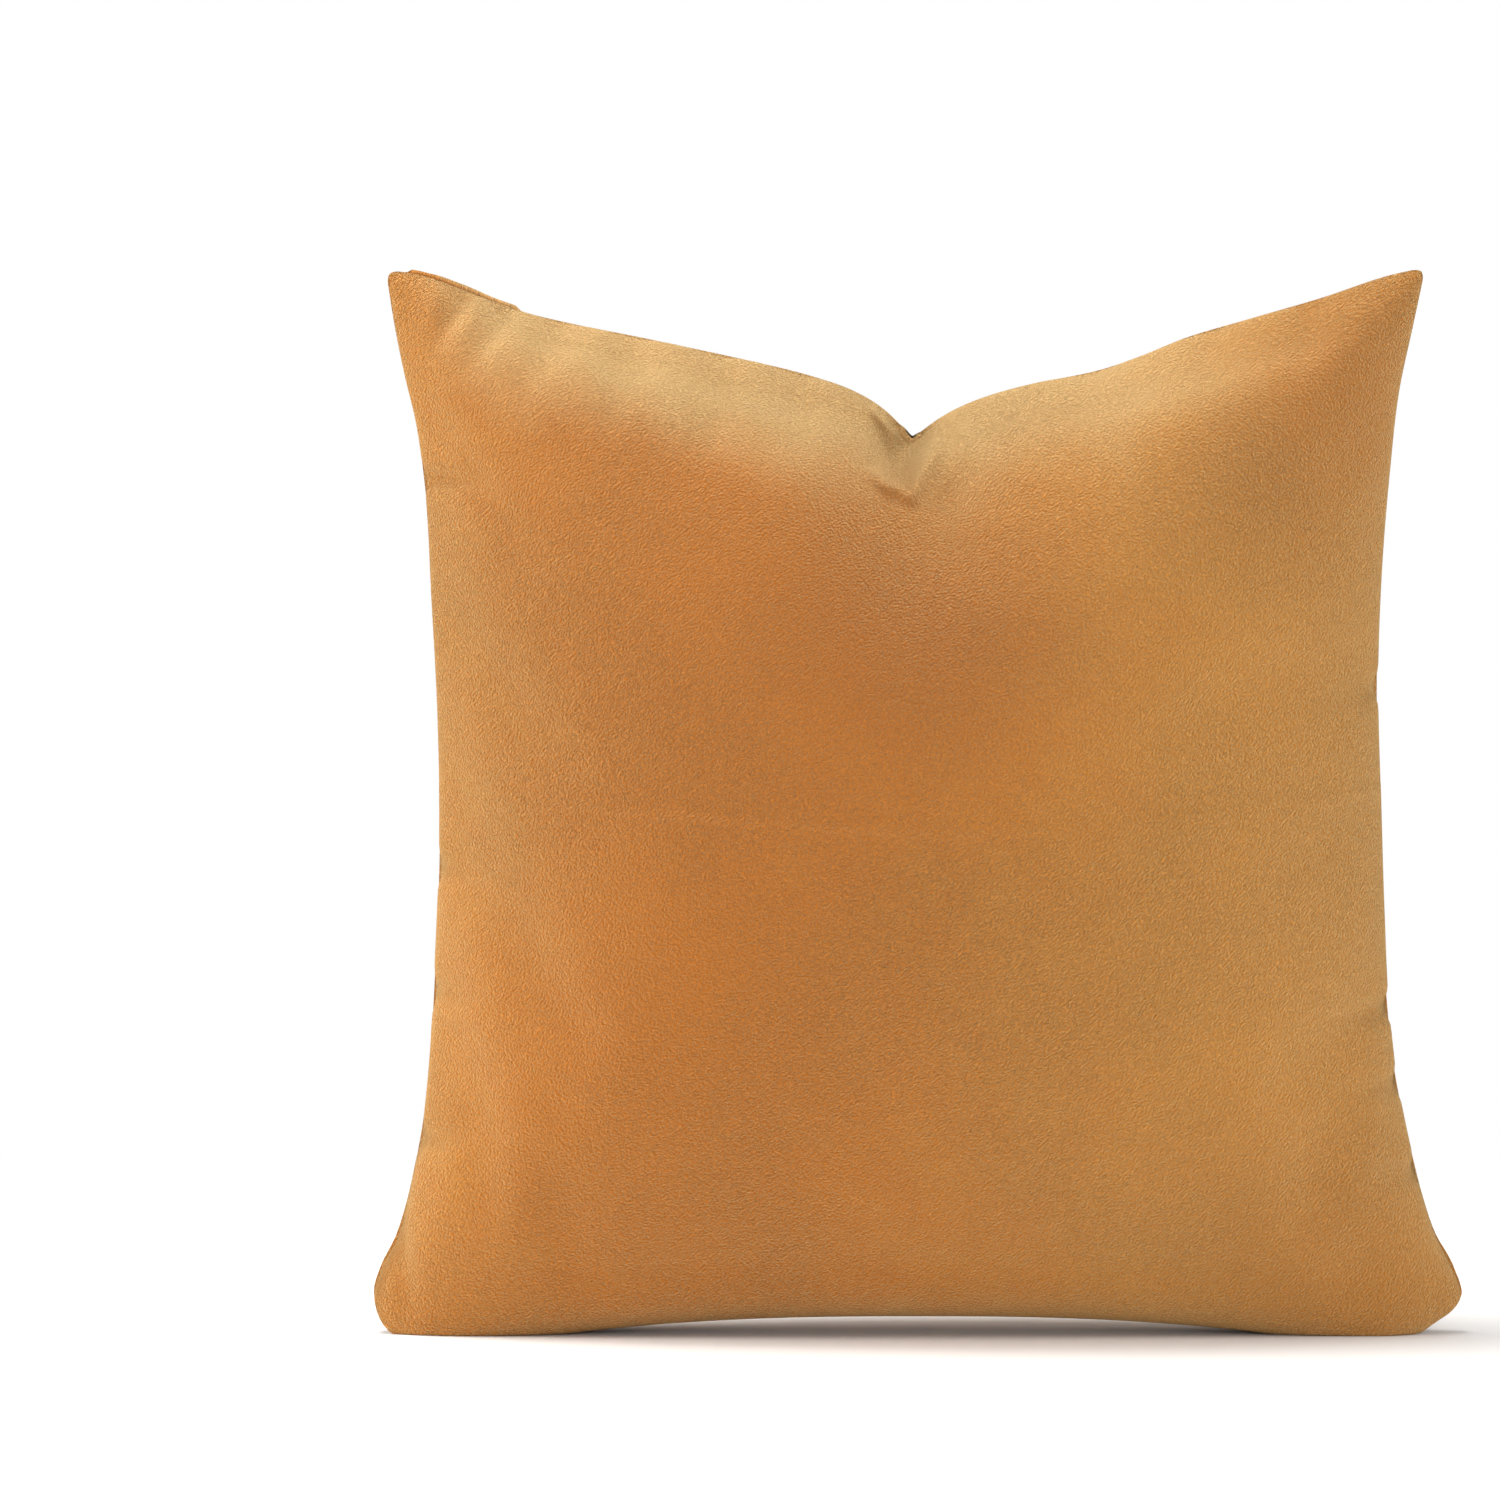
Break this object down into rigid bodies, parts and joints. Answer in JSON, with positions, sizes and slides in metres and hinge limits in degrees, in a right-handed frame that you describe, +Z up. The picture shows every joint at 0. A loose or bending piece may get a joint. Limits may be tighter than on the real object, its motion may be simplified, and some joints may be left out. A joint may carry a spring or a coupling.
{
  "type": "throw pillow",
  "caption": "Square knife-edge throw pillow: velvet cover with a hidden zip along the bottom seam, fibre-filled insert, dented top edge.",
  "frame": {"origin": "on the floor under the middle of the pillow's box, which stands on its zip edge", "axes": "+X along the zip edge to the right in the front view, -Y out of the front face, +Z up from the zip edge to the dented edge"},
  "size_m": [0.442, 0.1524, 0.433],
  "materials": {
    "velvet": "matte",
    "casing": "matte",
    "fibre": "matte",
    "thread": "matte",
    "tape": "matte",
    "nylon": "satin",
    "zip_metal": "satin"
  },
  "bodies": {
    "cushion": {"cover_front_panel": "velvet", "cover_back_panel": "velvet", "insert_front_panel": "casing", "insert_back_panel": "casing", "fibre_fill": "fibre", "overlock_left": "thread", "overlock_right": "thread", "overlock_top": "thread", "zipper_tape_front": "tape", "zipper_tape_back": "tape", "zipper_coil_front": "nylon", "zipper_coil_back": "nylon", "zipper_top_stop_front": "zip_metal", "zipper_top_stop_back": "zip_metal", "zipper_bottom_stop": "zip_metal"},
    "zip_slider": {"zipper_slider": "zip_metal"},
    "zip_pull": {"zipper_pull": "zip_metal"}
  },
  "joints": [
    {"name": "slider_travel", "type": "slide", "parent": "cushion", "child": "zip_slider", "axis": [1, 0, 0], "range_m": [0, 0.352]},
    {"name": "pull_swing", "type": "hinge", "parent": "zip_slider", "child": "zip_pull", "pos_m": [-0.176, 0, 0.0051], "axis": [0, 1, 0], "range_deg": [0, 180]}
  ]
}
